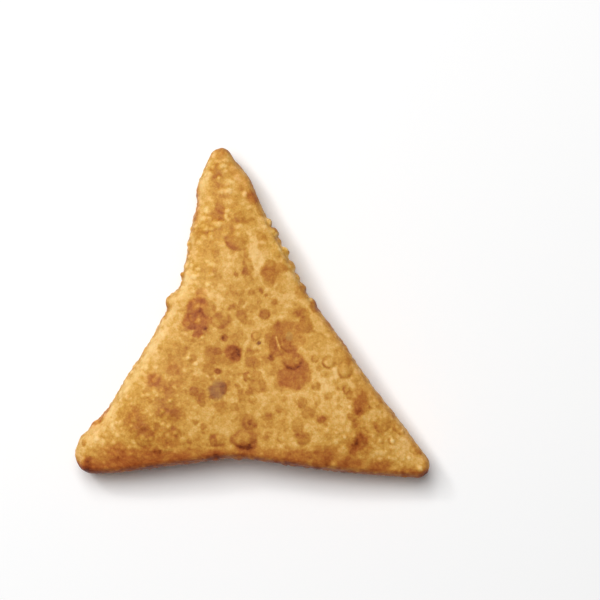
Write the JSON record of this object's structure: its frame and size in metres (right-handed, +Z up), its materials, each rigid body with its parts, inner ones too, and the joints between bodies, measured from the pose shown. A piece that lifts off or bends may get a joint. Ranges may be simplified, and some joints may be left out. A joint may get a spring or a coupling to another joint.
{
  "type": "samosa",
  "caption": "Fried triangular samosa: a plump folded pastry with rounded tips, bowed-in sides and a blistered golden crust, lying on its back with its broad face up.",
  "frame": {"origin": "under the middle of the samosa's footprint, on the surface it rests on", "axes": "+X towards the sharper of the two lower tips, +Y towards the tall tip, +Z up out of the broad face"},
  "size_m": [0.0948, 0.0886, 0.0204],
  "materials": {
    "fried_pastry": "golden fried dough, lightly oiled, blistered"
  },
  "bodies": {
    "root": {"samosa": "fried_pastry"}
  },
  "joints": []
}
